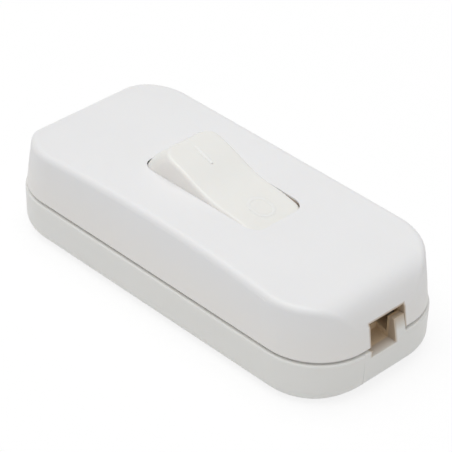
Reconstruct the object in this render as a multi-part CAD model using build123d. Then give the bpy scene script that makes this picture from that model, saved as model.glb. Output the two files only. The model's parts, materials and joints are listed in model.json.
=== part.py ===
"""Inline rocker switch for a lamp cord: a two-shell housing, a tilting rocker and the contacts that it works.

Millimetres, +Z up. The origin is at the middle of the underside, with +X along the length. The rocker rests
with its +X end pressed down, which is off. Both ends have a cord inlet, and each end is the other turned half
round.
"""
from build123d import *
from math import acos, atan2, cos, hypot, pi, radians, sin, sqrt, tan
import os

# Housing outside
length = 68.0
width = 29.0
height = 16.6
corner_radius = 9.7
parting_z = 7.7
wall = 2.0
cover_step = 0.2
cover_draft = 1.5
cover_end_lean = 1.3
waist_depth = 0.6
top_round = 1.05
arch_drop = 1.15
roll_length = 5.3
roll_drop = 4.55
roll_end_angle = 74.0
roll_fullness = 0.7
base_draft = 1.0
bottom_round = 2.4
heel_length = 5.5
heel_rise = 1.2

# Parting line
groove_height = 0.5
groove_depth = 0.7
rim_round = 0.35
lip_height = 1.3
lip_thickness = 0.8
lip_clearance = 0.1

# Cord inlets, given for the +X end
notch_low_y = -3.45
notch_high_y = 3.55
notch_top_z = 11.75
channel_high_y = 1.4
channel_floor_z = 6.7
tab_top_z = 10.4
tab_gap = 0.15
tab_root = 1.0
pad_half_width = 4.9
pad_proud = 0.15
pad_round = 1.8

# Rocker, about its axle
pivot_depth = 7.5
rocker_width = 10.0
rocker_reach = 13.8
rocker_wall = 1.3
rocker_round = 0.6
rocker_corner = 1.9
saddle_height = 8.6
saddle_radius = 18.0
wing_angle = 10.0
wing_radius = 35.0
skirt_angle = 78.0
tilt = 14.0
hub_radius = 2.8
hub_drop = 1.9
axle_radius = 1.5
axle_length = 1.8
axle_clearance = 0.06

# Rocker window
window_side_gap = 0.2
window_end_gap = 0.28
window_corner = 2.1
collar_wall = 1.2
collar_depth = 2.3
bearing_half_length = 3.6
bearing_drop = 0.8
post_gap = 0.2
tongue_drop = 0.5

# Plunger and spring, about the axle
bore_radius = 1.85
bore_top = 4.4
plunger_radius = 1.76
plunger_top = 0.4
plunger_bottom = -1.7
tip_radius = 0.9
tip_reach = 3.85
pin_radius = 0.8
pin_length = 1.2
wire_radius = 0.22
spring_radius = 1.3
spring_turns = 5
coil_gap = 0.02
wire_sides = 8

# Seesaw contact
seesaw_half_length = 7.5
seesaw_width = 4.0
strip_thickness = 0.8
dish_floor = 0.6
seesaw_share = 0.5
tip_gap = 0.05
notch_half_length = 0.65
ear_width = 0.8
ear_gap = 0.15
ear_rise = 0.4
knife_width = 0.8
knife_round = 0.2
knife_drop = 0.45
knife_gap = 0.05
rivet_x = 6.2
rivet_radius = 1.1
rivet_head = 0.5
rivet_dome = 4.0
rivet_shank = 0.6
rivet_clearance = 0.02
clinch_lip = 0.3
clinch_height = 0.25
contact_gap = 0.03
rest_inset = 0.7
rest_half_length = 0.4
rest_gap = 0.1
rest_side_gap = 0.3
rest_overhang = 0.6

# Terminals
terminal_x = 18.0
terminal_length = 6.0
terminal_width = 4.8
terminal_height = 7.0
terminal_gap = 0.3
terminal_chamfer = 0.3
wire_bore_radius = 1.25
wire_bore_drop = 3.5
screw_radius = 1.45
screw_clearance = 0.05
screw_tip_rise = 0.5
terminal_head_radius = 2.1
terminal_head_height = 1.8
slot_width = 0.6
slot_depth = 0.8
head_chamfer = 0.35
strip_width = 2.4
strip_bite = 0.5
strip_margin = 0.3
link_width = 2.8
link_thickness = 1.2
cross_x = 11.0
pocket_wall = 1.2
pocket_height = 2.0
pocket_clearance = 0.15

# Cord clamps
clamp_inset = 9.0
clamp_screw_y = 6.5
clamp_length = 5.4
clamp_thickness = 1.6
clamp_z = 11.6
clamp_screw_radius = 1.3
clamp_head_radius = 2.3
clamp_post_radius = 2.3
saddle_length = 2.8
saddle_cheek = 1.0
saddle_ridge = 0.4

# Housing screws
housing_screw_x = 18.5
pillar_radius = 2.8
recess_radius = 2.9
recess_depth = 2.6
recess_wall = 1.1
housing_head_radius = 2.6
housing_head_height = 2.0
housing_screw_length = 10.5
hole_clearance = 0.15
boss_gap = 0.1
pilot_extra = 0.5

# How edges are picked out for rounding
facing_limit = 0.6
match_limit = 0.01

# Places that follow from the sizes above
half_length = length / 2
floor_z = wall
base_half_length = half_length - pad_proud
pivot_z = height - pivot_depth
cover_low_z = parting_z + groove_height
cord_y = (notch_low_y + channel_high_y) / 2
channel_half = (channel_high_y - notch_low_y) / 2
window_half = rocker_width / 2 + window_side_gap
bearing_outer = window_half + axle_length
axle_end = rocker_width / 2 + axle_length
seesaw_z = pivot_z - tip_reach - tip_gap - dish_floor
seesaw_tilt = tilt * seesaw_share
terminal_y = rocker_width / 2 + terminal_gap + terminal_width / 2
terminal_top_z = floor_z + terminal_height
wire_z = terminal_top_z - wire_bore_drop
strip_top_z = floor_z + strip_thickness
clamp_x = half_length - clamp_inset


def block(x, y, z):
    """A box from three pairs of limits."""
    middle = [(low + high) / 2 for low, high in (x, y, z)]
    return Pos(*middle) * Box(x[1] - x[0], y[1] - y[0], z[1] - z[0])


def upright(radius, x, y, z):
    """A cylinder along Z between two heights."""
    return Pos(x, y, (z[0] + z[1]) / 2) * Cylinder(radius, z[1] - z[0])


def sideways(radius, x, y, z):
    """A cylinder along Y between two values of y."""
    return Pos(x, (y[0] + y[1]) / 2, z) * Rot(90, 0, 0) * Cylinder(radius, y[1] - y[0])


def lengthways(radius, x, y, z):
    """A cylinder along X between two values of x."""
    return Pos((x[0] + x[1]) / 2, y, z) * Rot(0, 90, 0) * Cylinder(radius, x[1] - x[0])


def polar(radius, angle, centre=(0, 0)):
    """A point at some radius and angle from upright."""
    return centre[0] + radius * sin(angle), centre[1] + radius * cos(angle)


def rim_edges(form, side, seam_reach):
    """The outer edges of the faces that look up, or down if the side is -1, without the seams between them.

    A face counts if at least the facing limit of its direction is up or down.
    """
    edges = ShapeList()
    for face in form.faces():
        if side * face.normal_at().Z < facing_limit:
            continue
        for edge in face.edges():
            box = edge.bounding_box()
            seam = box.size.X < match_limit and abs(box.max.X) < seam_reach
            if not seam:
                edges.append(edge)
    return edges


def across(sketch, half_width):
    """A side view in X and Z, drawn out to both sides of the middle."""
    return extrude(Plane.XZ.offset(-half_width) * sketch, 2 * half_width)


def both_ends(shape):
    """A shape at the +X end, with its copy turned half round to the other end."""
    return shape + Rot(0, 0, 180) * shape


def both_sides(shape):
    """A shape on the +Y side, with its mirror image."""
    return shape + mirror(shape, Plane.XZ)


# Housing

def outline(inset, waist=0.0, end_lean=0.0):
    """The housing's plan set in all round, its sides also at their middle by the waist, its ends by a lean."""
    radius = corner_radius - inset
    x = base_half_length - inset - end_lean
    y = width / 2 - inset
    diagonal = radius * (1 - sqrt(0.5))
    if waist:
        side = ThreePointArc((x - radius, y), (0, y - waist), (radius - x, y))
    else:
        side = Line((x - radius, y), (radius - x, y))
    half = [
        ThreePointArc((x, y - radius), (x - diagonal, y - diagonal), (x - radius, y)),
        side,
        ThreePointArc((radius - x, y), (diagonal - x, y - diagonal), (-x, y - radius)),
        Line((-x, y - radius), (-x, radius - y)),
    ]
    return make_face(half + [Rot(0, 0, 180) * edge for edge in half])


def cover_side_view(inset):
    """The cover's outline from the side: a slight arch along the length that rolls over at both ends."""
    wall_height = height - parting_z
    top_lean = cover_end_lean + wall_height * tan(radians(cover_draft))
    foot = base_half_length - cover_step - inset
    half = foot - top_lean * (wall_height - inset - arch_drop - roll_drop) / wall_height
    crown = height - inset
    start = half - roll_length
    shoulder = crown - arch_drop * (start / half_length) ** 2
    slope = 2 * arch_drop * start / half_length ** 2
    end_z = crown - arch_drop - roll_drop
    along = roll_fullness * roll_length
    down = roll_fullness * roll_drop
    turn = radians(roll_end_angle)

    def roll(side):
        return Bezier(
            (side * start, shoulder),
            (side * (start + along), shoulder - slope * along),
            (side * (half - down * cos(turn)), end_z + down * sin(turn)),
            (side * half, end_z),
        )

    arch = ThreePointArc((-start, shoulder), (0, crown), (start, shoulder))
    splay = foot + cover_step
    side = ((half, end_z), (splay, parting_z), (splay, 0))
    rest = Polyline(*side, *((-x, z) for x, z in reversed(side)))
    return make_face([arch, roll(1), *rest.edges(), roll(-1)])


def cover_form(inset):
    """The cover as a solid lump set in all round. Its walls lean in, and more so beside the rocker."""
    lean = (height - parting_z) * tan(radians(cover_draft))
    low = Pos(0, 0, parting_z) * outline(cover_step + inset)
    high = Pos(0, 0, height) * outline(cover_step + inset + lean, waist_depth, cover_end_lean)
    return loft([low, high], ruled=True) & across(cover_side_view(inset), width)


def round_top(form):
    """The lump with its upper edge rounded."""
    return fillet(rim_edges(form, 1, half_length - roll_length / 2), top_round)


def window_tool():
    """The space that the rocker swings in, with a clearance all round."""
    drum = sideways(rocker_reach + window_end_gap, 0, (-window_half, window_half), 0)
    drum = fillet(drum.edges().filter_by(GeomType.CIRCLE), window_corner)
    return Pos(0, 0, pivot_z) * drum


def window_collar():
    """A thin wall round the window's inside, which hides the works and stiffens the cover."""
    reach = rocker_reach + window_end_gap + collar_wall
    side = window_half + collar_wall
    drum = sideways(reach, 0, (-side, side), pivot_z)
    low = height - wall - collar_depth
    return drum & block((-half_length, half_length), (-width, width), (low, height))


def bearing_rib():
    """A rib beside the window that the axle snaps into from below."""
    y = (window_half, bearing_outer + hole_clearance)
    rib = block((-bearing_half_length, bearing_half_length), y, (pivot_z - bearing_drop, height))
    radius = axle_radius + axle_clearance
    slot = block((-radius, radius), (0, width), (0, pivot_z)) + sideways(radius, 0, (0, width), pivot_z)
    return rib - slot


def cover_boss():
    """A boss that the housing screw bites into."""
    return upright(pillar_radius, housing_screw_x, 0, (parting_z + boss_gap, height))


def cover_shell():
    """The upper half of the housing."""
    outside = round_top(cover_form(0))
    added = both_sides(bearing_rib()) + both_ends(cover_boss()) + window_collar()
    shell = outside - cover_form(wall) + (added & cover_form(wall / 2))
    shell -= window_tool()
    pilot_top = recess_depth + housing_screw_length + pilot_extra
    shell -= both_ends(upright(screw_radius + screw_clearance, housing_screw_x, 0, (0, pilot_top)))
    shell -= both_ends(block((half_length - 2 * wall, length), (notch_low_y, notch_high_y), (0, notch_top_z)))
    shell -= parting_ring(-wall, groove_depth, (0, cover_low_z))
    lip_top = parting_z + lip_height + lip_clearance
    return shell - parting_ring(wall - lip_thickness - lip_clearance, 2 * wall, (0, lip_top))


def parting_ring(outer, inner, z):
    """A band that follows the housing's plan between two insets."""
    def slab(inset):
        return extrude(Pos(0, 0, z[0]) * outline(inset), z[1] - z[0])
    return slab(outer) - slab(inner)


def base_side_view():
    """The base's outline from the side, which curves up towards both ends."""
    flat = base_half_length - heel_length
    heels = [
        TangentArc((side * flat, 0), (side * base_half_length, heel_rise), tangent=(side, 0))
        for side in (1, -1)
    ]
    half = base_half_length
    rest = Polyline((half, heel_rise), (half, height), (-half, height), (-half, heel_rise))
    return make_face([*heels, *rest.edges(), Line((-flat, 0), (flat, 0))])


def base_form():
    """The base as a solid lump with its bottom edge rounded."""
    down = Plane(origin=(0, 0, parting_z), z_dir=(0, 0, -1))
    form = extrude(down * outline(0), parting_z, taper=base_draft) & across(base_side_view(), width)
    form = fillet(rim_edges(form, -1, half_length - heel_length / 2), bottom_round)
    return fillet(form.faces().sort_by(Axis.Z)[-1].edges(), rim_round)


def end_pad():
    """The flat pad on the end wall below the inlet, upright where the wall beside it rolls under."""
    x = (half_length - heel_length, half_length)
    pad = block(x, (-pad_half_width, pad_half_width), (heel_rise, parting_z))
    foot = pad.edges().filter_by(Axis.Y).sort_by(lambda edge: edge.center().X - edge.center().Z)[-1]
    return fillet(foot, pad_round)


def inlet_tab():
    """The tab on the pad that fills the side of the cover's notch beside the cord."""
    y = (channel_high_y, notch_high_y - tab_gap)
    return block((half_length - wall, half_length), y, (channel_floor_z - tab_root, tab_top_z))


def clamp_post():
    """A post that a clamp screw goes into."""
    return upright(clamp_post_radius, clamp_x, clamp_screw_y, (0, clamp_z))


def cord_saddle():
    """The ridged block under the clamp that the cord lies on."""
    x = (clamp_x - saddle_length / 2, clamp_x + saddle_length / 2)
    y = (cord_y - channel_half - saddle_cheek, cord_y + channel_half + saddle_cheek)
    saddle = block(x, y, (0, channel_floor_z - saddle_ridge))
    for ridge_x in (x[0] + saddle_ridge, x[1] - saddle_ridge):
        crest = Pos(ridge_x, cord_y, channel_floor_z - saddle_ridge) * Rot(90, 0, 0)
        saddle += crest * extrude(RegularPolygon(saddle_ridge, 4), channel_half, both=True)
    return saddle


def terminal_pocket():
    """Four low walls that hold a terminal block in place."""
    half_x = terminal_length / 2 + pocket_clearance
    half_y = terminal_width / 2 + pocket_clearance
    z = (0, floor_z + pocket_height)
    ring = block(
        (terminal_x - half_x - pocket_wall, terminal_x + half_x + pocket_wall),
        (terminal_y - half_y - pocket_wall, terminal_y + half_y + pocket_wall),
        z,
    )
    ring -= block(
        (terminal_x - half_x, terminal_x + half_x),
        (terminal_y - half_y, terminal_y + half_y),
        (floor_z, height),
    )
    strip_way = block(
        (0, terminal_x),
        (terminal_y - half_y, terminal_y + half_y),
        (floor_z, height),
    )
    return ring - strip_way


def screw_pillar():
    """The pillar that a housing screw comes up through, wider round the recess for its head."""
    wide = upright(recess_radius + recess_wall, housing_screw_x, 0, (0, recess_depth + recess_wall))
    return wide + upright(pillar_radius, housing_screw_x, 0, (0, parting_z))


def screw_way():
    """The hole for a housing screw and the recess for its head."""
    hole = upright(screw_radius + hole_clearance, housing_screw_x, 0, (0, height))
    return hole + upright(recess_radius, housing_screw_x, 0, (0, recess_depth))


def bearing_post():
    """A post that closes the bearing rib's slot under the axle."""
    y = (window_half, bearing_outer)
    post = block((-bearing_half_length, bearing_half_length), y, (0, pivot_z - bearing_drop - post_gap))
    post += block((-axle_radius, axle_radius), y, (0, pivot_z - tongue_drop))
    return post - sideways(axle_radius + axle_clearance, 0, (0, width), pivot_z)


def seesaw_rest():
    """Two small ribs that the seesaw's open end comes down on."""
    x = rest_inset - seesaw_half_length
    top = seesaw_z + x * tan(radians(seesaw_tilt)) - rest_gap
    y = (strip_width / 2 + rest_side_gap, seesaw_width / 2 + rest_overhang)
    return both_sides(block((x - rest_half_length, x + rest_half_length), y, (0, top)))


def base_shell():
    """The lower half of the housing."""
    pads = both_ends(end_pad() + inlet_tab())
    tray = base_form() - extrude(Pos(0, 0, floor_z) * outline(wall), height) + pads
    lip = parting_ring(wall - lip_thickness, wall, (floor_z, parting_z + lip_height))
    lip -= both_ends(block((half_length - 2 * wall, length), (notch_low_y, notch_high_y), (parting_z, height)))
    pockets = both_sides(both_ends(terminal_pocket()))
    works = both_ends(both_sides(clamp_post()) + cord_saddle() + screw_pillar())
    works += both_sides(bearing_post()) + seesaw_rest() + pockets
    shell = tray + lip + (works & block((-length, length), (-width, width), (floor_z / 2, height)))
    channel = block((half_length - 2 * wall, length), (notch_low_y, channel_high_y), (channel_floor_z, height))
    shell -= both_ends(channel) + both_ends(screw_way())
    pilot_low = wire_z - pilot_extra
    pilot = upright(clamp_screw_radius + screw_clearance, clamp_x, clamp_screw_y, (pilot_low, height))
    return shell - both_ends(both_sides(pilot))


# Rocker

def rocker_side_view(inset, bottom):
    """A hollow middle between two wings that swell and level out, with ends that are arcs about the axle."""
    reach = rocker_reach - inset
    swell = wing_radius - inset
    turn = radians(wing_angle)
    saddle_centre = (0, saddle_height + saddle_radius)
    wing_centre = polar(saddle_radius + wing_radius, pi - turn, saddle_centre)
    distance = hypot(*wing_centre)
    spread = acos((distance ** 2 + reach ** 2 - swell ** 2) / (2 * distance * reach))
    corner_angle = atan2(*wing_centre) - spread
    corner = polar(reach, corner_angle)
    corner_turn = atan2(corner[0] - wing_centre[0], corner[1] - wing_centre[1])
    joint = polar(swell, -turn, wing_centre)
    on_wing = polar(swell, (corner_turn - turn) / 2, wing_centre)
    on_end = polar(reach, (corner_angle + radians(skirt_angle)) / 2)
    skirt = polar(reach, radians(skirt_angle))

    def half(side):
        outer = [(side * x, z) for x, z in (joint, on_wing, corner, on_end, skirt)]
        return [ThreePointArc(*outer[0:3]), ThreePointArc(*outer[2:5])]

    saddle = ThreePointArc((-joint[0], joint[1]), (0, saddle_height - inset), joint)
    under = Polyline(skirt, *bottom, (-skirt[0], skirt[1]))
    return make_face([saddle, *half(1), *half(-1), *under.edges()])


def rocker_form():
    """The rocker as a solid lump about its axle, with its outer edges rounded."""
    foot = hub_radius + rocker_wall / 2
    form = across(rocker_side_view(0, ((foot, -hub_drop), (-foot, -hub_drop))), rocker_width / 2)
    arcs = form.edges().filter_by(GeomType.CIRCLE)
    ends = arcs.filter_by(lambda edge: abs(edge.radius - rocker_reach) < match_limit)
    form = fillet(ends, rocker_corner)
    return fillet(rim_edges(form, 1, rocker_reach / 2), rocker_round)


def rocker():
    """The rocker with its thin walls, the hub for the plunger, a web across it and the two stub axles."""
    low = -rocker_reach
    hollow_view = rocker_side_view(rocker_wall, ((rocker_reach, low), (-rocker_reach, low)))
    hollow = across(hollow_view, rocker_width / 2 - rocker_wall)
    lump = rocker_form()
    hub = upright(hub_radius, 0, 0, (-hub_drop, bore_top + rocker_wall))
    half = rocker_wall / 2
    web = block((-half, half), (-rocker_width / 2, rocker_width / 2), (-hub_drop, rocker_reach))
    body = lump - hollow + ((hub + web) & lump)
    body += sideways(axle_radius, 0, (-axle_end, axle_end), 0)
    return body - upright(bore_radius, 0, 0, (-rocker_reach, bore_top))


def at_rocker(shape):
    """A shape about the axle, placed as the rocker rests, with its +X end down."""
    return Pos(0, 0, pivot_z) * Rot(0, tilt, 0) * shape


def spring_plunger():
    """A pin that slides in the rocker's bore, with a round tip below and a peg for the spring above."""
    tip_z = tip_radius - tip_reach
    pin = upright(plunger_radius, 0, 0, (plunger_bottom, plunger_top))
    pin += upright(tip_radius, 0, 0, (tip_z, plunger_bottom)) + Pos(0, 0, tip_z) * Sphere(tip_radius)
    return pin + upright(pin_radius, 0, 0, (plunger_top, plunger_top + pin_length))


def rocker_spring():
    """A spring between the plunger and the top of the bore, its wire eight-sided to keep it light."""
    room = bore_top - plunger_top
    inset = wire_radius + coil_gap
    rise = room - 2 * inset
    coil = Helix(rise / spring_turns, rise, spring_radius, center=(0, 0, plunger_top + inset))
    section = Plane(coil @ 0, z_dir=coil % 0) * RegularPolygon(wire_radius, wire_sides)
    return sweep(section, path=coil, is_frenet=True)


# Contacts

def at_seesaw(shape):
    """A shape about the knife edge, placed as the seesaw rests, with its +X end up."""
    return Pos(0, 0, seesaw_z) * Rot(0, -seesaw_tilt, 0) * shape


def seesaw_dish():
    """The groove that the plunger's tip works in, as deep as the tip's own path needs."""
    ball_drop = tip_reach - tip_radius
    ball_rise = dish_floor + tip_gap + tip_radius
    lean = ball_drop - ball_rise * seesaw_share
    lift = ball_drop * (0.5 + seesaw_share) - ball_rise * seesaw_share ** 2 / 2
    path_radius = lean ** 2 / (2 * lift)
    radius = path_radius + tip_radius
    return sideways(radius, 0, (-seesaw_width, seesaw_width), dish_floor + radius)


def seesaw_contact():
    """The strip that tips on the knife edge, with a groove for that edge and a waist between its ears."""
    strip = Pos(0, 0, strip_thickness / 2) * Box(2 * seesaw_half_length, seesaw_width, strip_thickness)
    strip = fillet(strip.edges().filter_by(Axis.Z), strip_thickness)
    waist = (seesaw_width / 2 - ear_width / 2, seesaw_width)
    strip -= both_sides(block((-notch_half_length, notch_half_length), waist, (-height, height)))
    strip -= seesaw_dish()
    strip -= sideways(knife_round + knife_gap, 0, (-seesaw_width, seesaw_width), 0)
    return strip - upright(rivet_shank + rivet_clearance, rivet_x, 0, (-height, height))


def contact_head():
    """A round contact face down, with a slight dome, its flat side at z = 0."""
    head = upright(rivet_radius, 0, 0, (-rivet_head, 0))
    return head & (Pos(0, 0, rivet_dome - rivet_head) * Sphere(rivet_dome))


def seesaw_rivet():
    """The moving contact, clinched over on top of the seesaw's arm."""
    shank = upright(rivet_shank, 0, 0, (-rivet_head / 2, strip_thickness))
    clinch = upright(rivet_shank + clinch_lip, 0, 0, (strip_thickness, strip_thickness + clinch_height))
    return Pos(rivet_x, 0, 0) * (contact_head() + shank + clinch)


def closed_point():
    """Where the moving contact's lowest point lies when the seesaw is down on it."""
    angle = radians(seesaw_tilt)
    centre_z = rivet_dome - rivet_head
    x = rivet_x * cos(angle) + centre_z * sin(angle)
    z = seesaw_z - rivet_x * sin(angle) + centre_z * cos(angle) - rivet_dome
    return x, z - contact_gap


def fixed_rivet():
    """The fixed contact, whose dome stops just under the moving one's lowest point."""
    x, top = closed_point()
    head = top - strip_top_z
    button = upright(rivet_radius, x, 0, (strip_top_z, top))
    button &= Pos(x, 0, top - rivet_dome) * Sphere(rivet_dome)
    return button + upright(rivet_shank, x, 0, (floor_z, strip_top_z + head / 2))


def terminal_block():
    """A brass block with a bore for the wire and a threaded hole for its screw, at the +X, +Y place."""
    half_x = terminal_length / 2
    half_y = terminal_width / 2
    x = (terminal_x - half_x, terminal_x + half_x)
    body = block(x, (terminal_y - half_y, terminal_y + half_y), (floor_z, terminal_top_z))
    body = chamfer(body.edges().filter_by(Axis.Z), terminal_chamfer)
    body -= lengthways(wire_bore_radius, (0, length), terminal_y, wire_z)
    return body - upright(screw_radius + screw_clearance, terminal_x, terminal_y, (wire_z, height))


def lead_in(end_x):
    """A strip on the floor from the +X, -Y terminal to the middle line, and along that to some x."""
    z = (floor_z, strip_top_z)
    half = strip_width / 2
    block_end = terminal_x - terminal_length / 2
    run = block((cross_x - half, block_end + strip_bite), (-terminal_y - half, -terminal_y + half), z)
    run += block((cross_x - half, cross_x + half), (-terminal_y - half, half), z)
    return run + block((end_x, cross_x + half), (-half, half), z)


def fixed_terminal():
    """A terminal block with the strip that carries the fixed contact."""
    x = closed_point()[0]
    body = mirror(terminal_block(), Plane.XZ) + lead_in(x - rivet_radius - strip_margin)
    return body - upright(rivet_shank + rivet_clearance, x, 0, (0, height))


def pivot_terminal():
    """The other switched terminal, whose strip is folded up into a knife edge between two ears."""
    body = mirror(mirror(terminal_block(), Plane.XZ) + lead_in(0), Plane.YZ)
    half = knife_width / 2
    ear_inner = seesaw_width / 2 - ear_width / 2 + ear_gap
    ear_outer = ear_inner + ear_width
    shoulder = seesaw_z - knife_drop
    wall_up = block((-half, half), (-ear_outer, ear_outer), (floor_z, shoulder))
    wedge = ((-half, shoulder), (half, shoulder), (knife_round, seesaw_z), (-knife_round, seesaw_z))
    edge_view = make_face(Polyline(*wedge, close=True)) + Pos(0, seesaw_z) * Circle(knife_round)
    ear_top = seesaw_z + strip_thickness + ear_rise
    ears = both_sides(block((-half, half), (ear_inner, ear_outer), (floor_z, ear_top)))
    return body + wall_up + across(edge_view, ear_inner) + ears


def neutral_link():
    """A bar between two terminal blocks, for the core that isn't switched."""
    inner = terminal_x - terminal_length / 2 + strip_bite
    side = terminal_y + terminal_width / 2
    bar = block((-inner, inner), (side - link_width, side), (floor_z, floor_z + link_thickness))
    return bar + terminal_block() + mirror(terminal_block(), Plane.YZ)


# Fasteners

def slotted(head, x, y, z):
    """A screw head with a straight slot across the face that it has at height z."""
    reach = 2 * recess_radius
    half = slot_width / 2
    return head - block((x - reach, x + reach), (y - half, y + half), (z - slot_depth, z + slot_depth))


def terminal_screw(side_x, side_y):
    """The screw down onto the wire in one of the four terminal blocks, which the two signs choose."""
    x = side_x * terminal_x
    y = side_y * terminal_y
    top = terminal_top_z + terminal_head_height
    head = upright(terminal_head_radius, x, y, (terminal_top_z, top))
    head = chamfer(head.edges().sort_by(Axis.Z)[-1], head_chamfer)
    return slotted(head, x, y, top) + upright(screw_radius, x, y, (wire_z + screw_tip_rise, terminal_top_z))


def clamp_strap():
    """A strap across the cord at the +X end, countersunk for its two screws."""
    half_y = clamp_screw_y + clamp_length / 2
    strap = block(
        (clamp_x - clamp_length / 2, clamp_x + clamp_length / 2),
        (-half_y, half_y),
        (clamp_z, clamp_z + clamp_thickness),
    )
    strap = fillet(strap.edges().filter_by(Axis.Z), clamp_length / 3)
    return strap - both_sides(clamp_screw(screw_clearance))


def clamp_screw(grown=0.0):
    """A countersunk screw, or the space for it, grown all round by a clearance."""
    top = clamp_z + clamp_thickness
    cone_height = clamp_head_radius - clamp_screw_radius
    cone = Cone(clamp_screw_radius + grown, clamp_head_radius + grown, cone_height)
    head = Pos(clamp_x, clamp_screw_y, top - cone_height / 2) * cone
    z = (wire_z - grown, top - cone_height)
    return head + upright(clamp_screw_radius + grown, clamp_x, clamp_screw_y, z)


def clamp_screw_pair():
    """The two screws of one strap."""
    screw = slotted(clamp_screw(), clamp_x, clamp_screw_y, clamp_z + clamp_thickness)
    return both_sides(screw)


def housing_screw():
    """A screw that comes up through the base into the cover's boss."""
    top = recess_depth + housing_screw_length
    bottom = recess_depth - housing_head_height
    head = upright(housing_head_radius, housing_screw_x, 0, (bottom, recess_depth))
    head = chamfer(head.edges().sort_by(Axis.Z)[0], head_chamfer)
    shank = upright(screw_radius, housing_screw_x, 0, (recess_depth, top))
    return slotted(head, housing_screw_x, 0, bottom) + shank


def turned(shape):
    """The same shape at the other end."""
    return Rot(0, 0, 180) * shape


pieces = {
    "base_shell": base_shell(),
    "cover_shell": cover_shell(),
    "rocker": at_rocker(rocker()),
    "rocker_spring": at_rocker(rocker_spring()),
    "spring_plunger": at_rocker(spring_plunger()),
    "seesaw_contact": at_seesaw(seesaw_contact()),
    "seesaw_rivet": at_seesaw(seesaw_rivet()),
    "pivot_terminal": pivot_terminal(),
    "fixed_terminal": fixed_terminal(),
    "fixed_rivet": fixed_rivet(),
    "neutral_link": neutral_link(),
    "pivot_terminal_screw": terminal_screw(-1, -1),
    "fixed_terminal_screw": terminal_screw(1, -1),
    "neutral_screw_in": terminal_screw(1, 1),
    "neutral_screw_out": terminal_screw(-1, 1),
    "cord_clamp_in": clamp_strap(),
    "cord_clamp_out": turned(clamp_strap()),
    "clamp_screws_in": clamp_screw_pair(),
    "clamp_screws_out": turned(clamp_screw_pair()),
    "housing_screws": both_ends(housing_screw()),
}

os.makedirs("parts", exist_ok=True)
for name, shape in pieces.items():
    export_step(shape, f"parts/{name}.step")
    print(f"{name}: {shape.volume:.1f} mm3")
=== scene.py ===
import json
import math

import bmesh
import bpy
from mathutils import Matrix, Vector


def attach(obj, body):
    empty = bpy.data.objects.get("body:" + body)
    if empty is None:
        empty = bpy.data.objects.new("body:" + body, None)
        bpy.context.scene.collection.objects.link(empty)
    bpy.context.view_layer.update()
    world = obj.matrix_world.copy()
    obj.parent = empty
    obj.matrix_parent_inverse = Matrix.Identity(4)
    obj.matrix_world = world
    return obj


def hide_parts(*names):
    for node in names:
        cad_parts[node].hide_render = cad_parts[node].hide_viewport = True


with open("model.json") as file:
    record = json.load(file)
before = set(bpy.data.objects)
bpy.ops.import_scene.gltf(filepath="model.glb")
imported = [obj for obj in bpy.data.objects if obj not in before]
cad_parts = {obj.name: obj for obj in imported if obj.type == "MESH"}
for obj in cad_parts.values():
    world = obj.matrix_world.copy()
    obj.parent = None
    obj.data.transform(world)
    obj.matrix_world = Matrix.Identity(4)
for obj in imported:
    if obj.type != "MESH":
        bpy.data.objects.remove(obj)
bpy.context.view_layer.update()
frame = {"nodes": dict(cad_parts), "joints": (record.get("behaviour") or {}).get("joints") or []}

# Sizes are in metres. The frame is the switch's own: +X along its length, +Z up, origin under its middle.
MM = 0.001
NODES = frame["nodes"]
JOINTS = {joint["name"]: joint for joint in frame["joints"]}

# The photograph's viewpoint, in degrees, metres and pixels of its 452 x 452 frame
VIEW_AZIMUTH = 44.94
VIEW_ELEVATION = 35.24
VIEW_ROLL = 1.645
VIEW_DISTANCE = 0.3374
VIEW_AIM = Vector((0, 0, 9.067 * MM))
FOCAL_PIXELS = 2281.4
IMAGE_SIZE = 452
AIM_PIXEL = (221.3, 225.79)

# Light: the surround's strength, and the key lamp's place, size and power
SURROUND = 0.47
KEY_PLACE = (-0.12, -0.12, 1.2)
KEY_SIZE = 1.1
KEY_POWER = 9.35

# Floor: its reach, its level just under the switch, its grey, and the share and strength of white that is seen
FLOOR_REACH = 2.0
FLOOR_LEVEL = -0.02 * MM
FLOOR_GREY = 0.9
WHITE_SHARE = 0.8
WHITE_STRENGTH = 1.03

# Rocker: its half width with what each side gains, the swell of its wings about its axle, and its tilt at rest
ROCKER_HALF_WIDTH = 5.0 * MM
ROCKER_GROWTH = (0.19 * MM, 0.12 * MM)
WING_RADIUS = 35.0 * MM
WING_CENTRE = (9.203 * MM, -25.595 * MM)
REST_TILT = math.radians(14.0)

# Housing: its plan, the depth over which its wall ends, and how far the edges at the parting line go down
PLAN_HALF = (33.85 * MM, 14.5 * MM)
PLAN_RADIUS = 9.7 * MM
WALL_DEPTH = (2.4 * MM, 3.4 * MM)
PARTING_Z = 7.7 * MM
RIM_DROP = 0.66 * MM
RIM_EASE = (3 * MM, 7 * MM)
SKIRT_DROP = 0.61 * MM
SKIRT_EASE = (8.8 * MM, 11.5 * MM)

# Inlets: where they begin, the cover's notch, and the base's pad and tab. The tab leans in with the cover's wall.
INLET_X = 30 * MM
NOTCH_HALF = 3.6 * MM
NOTCH_TOP = 11.75 * MM
NOTCH_TOP_WITHIN = 0.03 * MM
NOTCH_DROP = 0.55 * MM
PAD_X = 33.851 * MM
TAB_FOOT = 8.3 * MM
TAB_SIDE = 3 * MM
TAB_GROWTH = 0.12 * MM
TAB_SETBACK = 0.25 * MM
TAB_LEAN = 0.17


# Camera, light and floor

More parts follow.
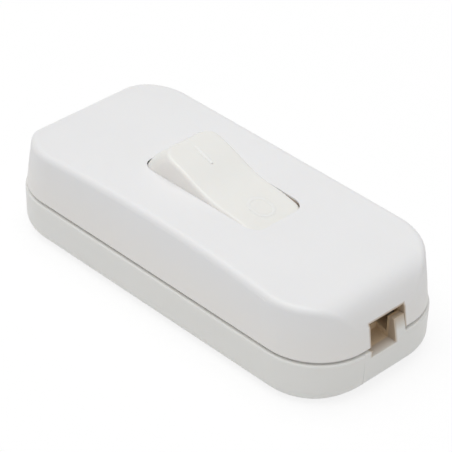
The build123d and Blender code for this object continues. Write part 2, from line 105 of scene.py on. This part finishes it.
def add_camera():
    """The photograph's camera, looking down on the switch's near corner."""
    azimuth, elevation, roll = (math.radians(v) for v in (VIEW_AZIMUTH, VIEW_ELEVATION, VIEW_ROLL))
    back = Vector((
        math.sin(azimuth) * math.cos(elevation),
        -math.cos(azimuth) * math.cos(elevation),
        math.sin(elevation),
    ))
    level = Vector((math.cos(azimuth), math.sin(azimuth), 0))
    up = back.cross(level)
    right = level * math.cos(roll) + up * math.sin(roll)
    up = up * math.cos(roll) - level * math.sin(roll)
    data = bpy.data.cameras.new("camera")
    data.sensor_width = 36.0
    data.lens = FOCAL_PIXELS / IMAGE_SIZE * data.sensor_width
    data.shift_x = (IMAGE_SIZE / 2 - AIM_PIXEL[0]) / IMAGE_SIZE
    data.shift_y = (AIM_PIXEL[1] - IMAGE_SIZE / 2) / IMAGE_SIZE
    data.clip_start = 0.01
    data.clip_end = 20.0
    camera = bpy.data.objects.new("camera", data)
    place = VIEW_AIM + back * VIEW_DISTANCE
    camera.matrix_world = Matrix((
        (right.x, up.x, back.x, place.x),
        (right.y, up.y, back.y, place.y),
        (right.z, up.z, back.z, place.z),
        (0, 0, 0, 1),
    ))
    bpy.context.scene.collection.objects.link(camera)
    bpy.context.scene.camera = camera


def add_world(strength):
    """A plain white surround, which camera rays see as white at full strength."""
    world = bpy.data.worlds.new("surround")
    world.use_nodes = True
    nodes, links = world.node_tree.nodes, world.node_tree.links
    nodes.clear()
    path = nodes.new("ShaderNodeLightPath")
    light = nodes.new("ShaderNodeBackground")
    light.inputs["Color"].default_value = (1, 1, 1, 1)
    light.inputs["Strength"].default_value = strength
    seen = nodes.new("ShaderNodeBackground")
    seen.inputs["Color"].default_value = (1, 1, 1, 1)
    seen.inputs["Strength"].default_value = 1.0
    mix = nodes.new("ShaderNodeMixShader")
    output = nodes.new("ShaderNodeOutputWorld")
    links.new(path.outputs["Is Camera Ray"], mix.inputs["Fac"])
    links.new(light.outputs["Background"], mix.inputs[1])
    links.new(seen.outputs["Background"], mix.inputs[2])
    links.new(mix.outputs["Shader"], output.inputs["Surface"])
    bpy.context.scene.world = world


def add_lamp(name, place, size, power):
    """A square soft lamp that points at the switch."""
    data = bpy.data.lights.new(name, "AREA")
    data.shape = "SQUARE"
    data.size = size
    data.energy = power
    lamp = bpy.data.objects.new(name, data)
    lamp.location = place
    aim = Vector((0, 0, 0)) - Vector(place)
    lamp.rotation_euler = aim.to_track_quat("-Z", "Y").to_euler()
    bpy.context.scene.collection.objects.link(lamp)


def add_floor():
    """A wide pale floor that reads as white and keeps a light shadow under the switch."""
    mesh = bpy.data.meshes.new("floor")
    corners = [(x * FLOOR_REACH, y * FLOOR_REACH, FLOOR_LEVEL) for x, y in ((-1, -1), (1, -1), (1, 1), (-1, 1))]
    mesh.from_pydata(corners, [], [(0, 1, 2, 3)])
    floor = bpy.data.objects.new("floor", mesh)
    bpy.context.scene.collection.objects.link(floor)
    material = bpy.data.materials.new("floor")
    material.use_nodes = True
    nodes, links = material.node_tree.nodes, material.node_tree.links
    nodes.clear()
    path = nodes.new("ShaderNodeLightPath")
    seen = nodes.new("ShaderNodeMath")
    seen.operation = "MAXIMUM"
    links.new(path.outputs["Is Camera Ray"], seen.inputs[0])
    links.new(path.outputs["Is Glossy Ray"], seen.inputs[1])
    share = nodes.new("ShaderNodeMath")
    share.operation = "MULTIPLY"
    share.inputs[1].default_value = WHITE_SHARE
    links.new(seen.outputs["Value"], share.inputs[0])
    matt = nodes.new("ShaderNodeBsdfDiffuse")
    matt.inputs["Color"].default_value = (FLOOR_GREY, FLOOR_GREY, FLOOR_GREY, 1)
    white = nodes.new("ShaderNodeEmission")
    white.inputs["Strength"].default_value = WHITE_STRENGTH
    mix = nodes.new("ShaderNodeMixShader")
    output = nodes.new("ShaderNodeOutputMaterial")
    links.new(share.outputs["Value"], mix.inputs["Fac"])
    links.new(matt.outputs["BSDF"], mix.inputs[1])
    links.new(white.outputs["Emission"], mix.inputs[2])
    links.new(mix.outputs["Shader"], output.inputs["Surface"])
    mesh.materials.append(material)


# Materials

class Shader:
    """A procedural material in the making: a Principled shader with helpers for the nodes that feed it."""

    def __init__(self, name, roughness, metallic=0.0):
        self.material = bpy.data.materials.new(name)
        self.material.use_nodes = True
        self.tree = self.material.node_tree
        self.shader = self.tree.nodes["Principled BSDF"]
        self.shader.inputs["Roughness"].default_value = roughness
        self.shader.inputs["Metallic"].default_value = metallic
        self.place = self.tree.nodes.new("ShaderNodeTexCoord")

    def link(self, out, into):
        self.tree.links.new(out, into)

    def noise(self, feature_size, detail=2.0, roughness=0.5, stretch=(1, 1, 1)):
        """Noise whose blobs are about as large as feature_size, stretched along an axis if asked."""
        mapping = self.tree.nodes.new("ShaderNodeMapping")
        mapping.inputs["Scale"].default_value = [1 / (feature_size * s) for s in stretch]
        self.link(self.place.outputs["Object"], mapping.inputs["Vector"])
        texture = self.tree.nodes.new("ShaderNodeTexNoise")
        texture.inputs["Scale"].default_value = 1.0
        texture.inputs["Detail"].default_value = detail
        texture.inputs["Roughness"].default_value = roughness
        self.link(mapping.outputs["Vector"], texture.inputs["Vector"])
        return texture.outputs["Fac"]

    def within(self, centre, half, soft):
        """1 inside a box and 0 outside it, over a soft edge beyond its faces."""
        value = self.place.outputs["Object"]
        for operation, other in (("SUBTRACT", centre), ("ABSOLUTE", None), ("SUBTRACT", half)):
            step = self.tree.nodes.new("ShaderNodeVectorMath")
            step.operation = operation
            self.link(value, step.inputs[0])
            if other:
                step.inputs[1].default_value = other
            value = step.outputs["Vector"]
        parts = self.tree.nodes.new("ShaderNodeSeparateXYZ")
        self.link(value, parts.inputs["Vector"])
        first = self.math("MAXIMUM", parts.outputs["X"], parts.outputs["Y"])
        last = self.math("MAXIMUM", first, parts.outputs["Z"])
        return self.spread(last, 1.0, 0.0, (0.0, soft))

    def math(self, operation, first, second):
        step = self.tree.nodes.new("ShaderNodeMath")
        step.operation = operation
        self.link(first, step.inputs[0])
        self.link(second, step.inputs[1])
        return step.outputs["Value"]

    def tint(self, colour, other, share):
        """A colour output turned to another colour by a share."""
        mix = self.tree.nodes.new("ShaderNodeMix")
        mix.data_type = "RGBA"
        mix.inputs["B"].default_value = (*other, 1)
        self.link(share, mix.inputs["Factor"])
        self.link(colour, mix.inputs["A"])
        return mix.outputs["Result"]

    def ramp(self, value, low, high, colours):
        """A blend of two colours as value runs from low to high."""
        ramp = self.tree.nodes.new("ShaderNodeValToRGB")
        first, last = ramp.color_ramp.elements
        first.position, last.position = low, high
        first.color, last.color = ((*colour, 1) for colour in colours)
        self.link(value, ramp.inputs["Fac"])
        return ramp.outputs["Color"]

    def spread(self, value, low, high, limits=(0.3, 0.7)):
        """value, between limits that suit noise, spread from low to high."""
        spread = self.tree.nodes.new("ShaderNodeMapRange")
        spread.inputs["From Min"].default_value = limits[0]
        spread.inputs["From Max"].default_value = limits[1]
        spread.inputs["To Min"].default_value = low
        spread.inputs["To Max"].default_value = high
        self.link(value, spread.inputs["Value"])
        return spread.outputs["Result"]

    def bump(self, value, depth, before=None):
        """Relief of a given depth, added to what relief comes before it."""
        bump = self.tree.nodes.new("ShaderNodeBump")
        bump.inputs["Strength"].default_value = 1.0
        bump.inputs["Distance"].default_value = depth
        self.link(value, bump.inputs["Height"])
        if before:
            self.link(before, bump.inputs["Normal"])
        return bump.outputs["Normal"]

    def feed(self, **sockets):
        for name, out in sockets.items():
            self.link(out, self.shader.inputs[name.replace("_", " ")])
        return self.material


def moulded_plastic(name, colour, shade, roughness, grain=0.0006 * MM, tints_and_painted_shading=()):
    """Moulded plastic: faint clouds of tone, a fine satin grain, slight waves from the mould, and tinted boxes,
    mostly painted shade and painted light.
    """
    made = Shader(name, roughness)
    made.shader.inputs["IOR"].default_value = 1.49
    made.shader.inputs["Subsurface Weight"].default_value = 0.12
    made.shader.inputs["Subsurface Radius"].default_value = (1.0, 0.85, 0.7)
    made.shader.inputs["Subsurface Scale"].default_value = 0.8 * MM
    clouds = made.noise(14 * MM, detail=3.0)
    fine = made.noise(0.12 * MM, detail=2.0)
    waves = made.noise(7 * MM, detail=1.0)
    relief = made.bump(fine, grain)
    relief = made.bump(waves, 0.006 * MM, relief)
    tone = made.ramp(clouds, 0.35, 0.65, (colour, shade))
    # Each box mixes its colour into the tone: painted shade in hollows and on ledges, painted light on the rocker's
    # flanks, and a warmer cover towards its lower edge.
    for box_tint_colour, centre, half, soft in tints_and_painted_shading:
        tone = made.tint(tone, box_tint_colour, made.within(centre, half, soft))
    return made.feed(
        Base_Color=tone,
        Roughness=made.spread(made.noise(1.6 * MM), roughness - 0.04, roughness + 0.05),
        Normal=relief,
    )


def metal(name, colour, shade, roughness, stretch=(1, 1, 1)):
    """Bare metal with drawn or turned lines and a slightly clouded tone."""
    made = Shader(name, roughness, metallic=1.0)
    lines = made.noise(0.05 * MM, detail=3.0, stretch=stretch)
    clouds = made.noise(1.5 * MM, detail=3.0)
    return made.feed(
        Base_Color=made.ramp(clouds, 0.35, 0.65, (colour, shade)),
        Roughness=made.spread(made.noise(0.6 * MM), roughness - 0.06, roughness + 0.10),
        Normal=made.bump(lines, 0.002 * MM),
    )


def fibre_board(name):
    """Brown laminate: speckled with fibres and nearly matt."""
    made = Shader(name, 0.6)
    fibres = made.noise(0.10 * MM, detail=4.0, roughness=0.7, stretch=(1, 6, 1))
    return made.feed(
        Base_Color=made.ramp(fibres, 0.3, 0.7, ((0.30, 0.19, 0.11), (0.48, 0.33, 0.21))),
        Roughness=made.spread(fibres, 0.5, 0.7),
        Normal=made.bump(fibres, 0.01 * MM),
    )


def paint(material, *pieces):
    """Gives pieces, or CAD nodes by their names, a material in all their slots."""
    for piece in pieces:
        if isinstance(piece, str):
            piece = NODES[piece]
        if not piece.material_slots:
            piece.data.materials.append(material)
        for slot in piece.material_slots:
            slot.material = material


# Housing and rocker as the photograph shows them

def depth_inside(x, y):
    """How far a point lies inside the housing's plan, which is a rectangle with round corners."""
    out_x = abs(x) - PLAN_HALF[0] + PLAN_RADIUS
    out_y = abs(y) - PLAN_HALF[1] + PLAN_RADIUS
    return PLAN_RADIUS - math.hypot(max(out_x, 0), max(out_y, 0)) - min(max(out_x, out_y), 0)


def eased(value, low, high):
    """0 to 1 as value runs from low to high, slow at both ends."""
    t = min(max((value - low) / (high - low), 0), 1)
    return t * t * (3 - 2 * t)


def base_move(point):
    """Lowers the base's rim and its lip, sets the pad and the tab at the inlets back, and widens the tab."""
    x, y, z = point
    wall = 1 - eased(depth_inside(x, y), *WALL_DEPTH)
    side = math.copysign(1, x)
    limit = PAD_X
    if z > TAB_FOOT:
        limit -= max(z - PARTING_Z, 0) * TAB_LEAN + TAB_SETBACK
        if abs(x) > INLET_X and TAB_SIDE < side * y < NOTCH_HALF:
            y += side * TAB_GROWTH
    return side * min(abs(x), limit), y, z - RIM_DROP * wall * eased(z, *RIM_EASE)


def cover_move(point):
    """Lowers the cover's lower edge and the top of its notches."""
    x, y, z = point
    if abs(x) > INLET_X and abs(y) < NOTCH_HALF and abs(z - NOTCH_TOP) < NOTCH_TOP_WITHIN:
        return x, y, z - NOTCH_DROP
    wall = 1 - eased(depth_inside(x, y), *WALL_DEPTH)
    return x, y, z - SKIRT_DROP * wall * (1 - eased(z, *SKIRT_EASE))


def rocker_move(point):
    """Widens the rocker, which nearly fills its window."""
    x, y, z = point
    return x, y + min(max(y / ROCKER_HALF_WIDTH, -1), 1) * ROCKER_GROWTH[y > 0], z


def reshape(node, body, move):
    """A copy of a CAD node with its points moved, shown in the node's place."""
    mesh = NODES[node].data.copy()
    for vertex in mesh.vertices:
        vertex.co = move(vertex.co)
    piece = bpy.data.objects.new(node + "_skin", mesh)
    bpy.context.scene.collection.objects.link(piece)
    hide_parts(node)
    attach(piece, body)
    return piece


# Marks on the rocker

def on_wing(side, along, across, above):
    """A point above a wing of the resting rocker, given along and across the switch from the rocker's middle."""
    turn = math.asin((along - WING_CENTRE[0]) / WING_RADIUS)
    reach = WING_RADIUS + above
    out = WING_CENTRE[0] + reach * math.sin(turn)
    local = Vector((side * out, across, WING_CENTRE[1] + reach * math.cos(turn)))
    return Vector(JOINTS["rocker_tilt"]["pos_m"]) + Matrix.Rotation(REST_TILT, 3, "Y") @ local


def ring_outline(half_long, half_wide, count):
    """Points of a rounded outline: a stadium if its half sizes differ."""
    radius = min(half_long, half_wide)
    straight_x, straight_y = half_long - radius, half_wide - radius
    points = []
    for step in range(count):
        angle = 2 * math.pi * (step + 0.5) / count
        x, y = math.cos(angle), math.sin(angle)
        points.append((x * radius + math.copysign(straight_x, x), y * radius + math.copysign(straight_y, y)))
    return points


def raised_bar(name, side, centre, half_long, half_wide, height):
    """A bar with round ends and a crowned top, as moulded on a key."""
    mesh = bmesh.new()
    count = 48
    soft = 0.45 * half_wide
    steps = 6
    levels = [(0.0, -height)]
    levels += [
        (soft * (1 - math.cos(a)), height - soft * (1 - math.sin(a)))
        for a in (math.pi / 2 * step / steps for step in range(steps + 1))
    ]
    rings = []
    for inset, z in levels:
        outline = ring_outline(half_long - inset, half_wide - inset, count)
        rings.append([mesh.verts.new(on_wing(side, centre + x, y, z)) for x, y in outline])
    for low, high in zip(rings, rings[1:]):
        for i in range(count):
            j = (i + 1) % count
            mesh.faces.new((low[i], low[j], high[j], high[i]))
    mesh.faces.new(rings[-1])
    mesh.faces.new(list(reversed(rings[0])))
    return piece_from(mesh, name)


def raised_ring(name, side, centre, half_long, half_wide, bar_width, height):
    """A raised ring with a crowned section, as moulded on a key."""
    mesh = bmesh.new()
    count = 72
    steps = 12
    fullness = 0.6
    section = [(-bar_width / 2, -height)]
    section += [
        (-math.cos(a) * bar_width / 2, math.sin(a) ** fullness * height)
        for a in (math.pi * step / steps for step in range(1, steps))
    ]
    section.append((bar_width / 2, -height))
    loops = []
    for offset, z in section:
        outline = ring_outline(half_long + offset, half_wide + offset, count)
        loops.append([mesh.verts.new(on_wing(side, centre + x, y, z)) for x, y in outline])
    loops.append(loops[0])
    for first, second in zip(loops, loops[1:]):
        for i in range(count):
            j = (i + 1) % count
            mesh.faces.new((first[j], first[i], second[i], second[j]))
    return piece_from(mesh, name)


def piece_from(mesh, name):
    """An object in the scene from a bmesh, smooth and with its normals outward."""
    bmesh.ops.recalc_face_normals(mesh, faces=mesh.faces)
    for face in mesh.faces:
        face.smooth = True
    data = bpy.data.meshes.new(name)
    mesh.to_mesh(data)
    mesh.free()
    piece = bpy.data.objects.new(name, data)
    bpy.context.scene.collection.objects.link(piece)
    return piece


def add_marks(material):
    """The raised I and O, which show which way the rocker is pressed."""
    bar = raised_bar(
        "mark_i", side=-1, centre=6.5 * MM, half_long=2.0 * MM, half_wide=0.28 * MM, height=0.13 * MM,
    )
    ring = raised_ring(
        "mark_o", side=1, centre=5.95 * MM, half_long=2.0 * MM, half_wide=1.6 * MM,
        bar_width=0.5 * MM, height=0.035 * MM,
    )
    for mark in (bar, ring):
        mark.data.materials.append(material)
        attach(mark, "rocker")


def in_mm(*sizes):
    """Sizes given in millimetres."""
    return tuple(size * MM for size in sizes)


def plastics():
    """The plastics of the cover, base, rocker and marks.

    A tinted box is a colour, the centre and half size of a box, and the width of its soft edge. The cover is warmer
    towards its lower edge. The inlets and the window are painted brown inside as painted shade, and so are the tabs'
    tops, the notches' edges and the inlets' sills. The rocker's flanks are painted lighter and warmer than its top,
    as painted light.
    """
    # Painted shade: a brown for the notches' edges and the inlets' sills, where shade falls.
    brown = (0.50, 0.40, 0.30)
    skirt = ((0.845, 0.828, 0.805), (0, 0, 5 * MM), in_mm(40, 20, 4), 6 * MM)
    # Painted shade: brown inside the inlets, standing in for the shade in the hollow behind each notch.
    inlets = ((0.72, 0.56, 0.38), (0, 0, 8.75 * MM), in_mm(32.2, 3.6, 3.05), 0.3 * MM)
    # Painted shade: brown-grey on the window's inner walls, in the narrow gap beside the rocker.
    window = ((0.55, 0.46, 0.40), (0, 0, 14.4 * MM), in_mm(12.0, 5.25, 1.8), 0.08 * MM)
    # Painted shade: brown on the tabs' tops, which lie in the shade of the notches.
    tabs = ((0.52, 0.43, 0.33), (0, 0, 10.3 * MM), in_mm(33.3, 3.6, 0.6), 2 * MM)
    edges, sills, flanks = [], [], []
    for side in (1, -1):
        # Painted shade on the notches' edges.
        edges.append((brown, in_mm(side * 33, side * 0.05, 8.75), in_mm(1, 3.53, 2.5), 0.35 * MM))
        # Painted shade on the inlets' sills.
        sills.append((brown, in_mm(side * 33, side * -1, 8.65), in_mm(1, 2.42, 2.3), 0.45 * MM))
        # Painted light: the rocker's flanks are painted lighter and warmer than its top.
        flanks.append(((0.925, 0.90, 0.865), in_mm(0, side * 6, 14), in_mm(20, 0.85, 8), 0.3 * MM))
    cover = moulded_plastic(
        "cover_plastic", (0.845, 0.845, 0.85), (0.835, 0.835, 0.838), 0.42, tints_and_painted_shading=(skirt, *edges, inlets, window),
    )
    base = moulded_plastic(
        "base_plastic", (0.815, 0.812, 0.79), (0.805, 0.802, 0.775), 0.46, tints_and_painted_shading=(tabs, *sills, inlets),
    )
    rocker = moulded_plastic("rocker_plastic", (0.865, 0.86, 0.828), (0.855, 0.848, 0.812), 0.34, tints_and_painted_shading=flanks)
    # Painted highlight: the marks are a lighter copy of the rocker's plastic, so the raised I and O read bright.
    marks = moulded_plastic("mark_plastic", (0.92, 0.915, 0.89), (0.91, 0.905, 0.875), 0.34)
    return cover, base, rocker, marks


def main():
    add_camera()
    add_world(SURROUND)
    add_lamp("key_lamp", KEY_PLACE, KEY_SIZE, KEY_POWER)
    add_floor()
    cover, base, rocker, marks = plastics()
    brass = metal("brass", (0.80, 0.62, 0.30), (0.72, 0.52, 0.24), 0.32)
    silver = metal("silver", (0.86, 0.85, 0.82), (0.80, 0.79, 0.76), 0.25)
    steel = metal("plated_steel", (0.70, 0.70, 0.70), (0.62, 0.62, 0.62), 0.28)
    paint(cover, reshape("cover_shell", "housing", cover_move))
    paint(base, reshape("base_shell", "housing", base_move))
    paint(rocker, reshape("rocker", "rocker", rocker_move), "spring_plunger")
    paint(brass, "seesaw_contact", "pivot_terminal", "fixed_terminal", "neutral_link")
    paint(silver, "seesaw_rivet", "fixed_rivet")
    paint(steel, "rocker_spring", *(name for name in NODES if "screw" in name))
    paint(fibre_board("brown_fibre"), "cord_clamp_in", "cord_clamp_out")
    add_marks(marks)
    bpy.context.scene.view_settings.view_transform = "Standard"


main()
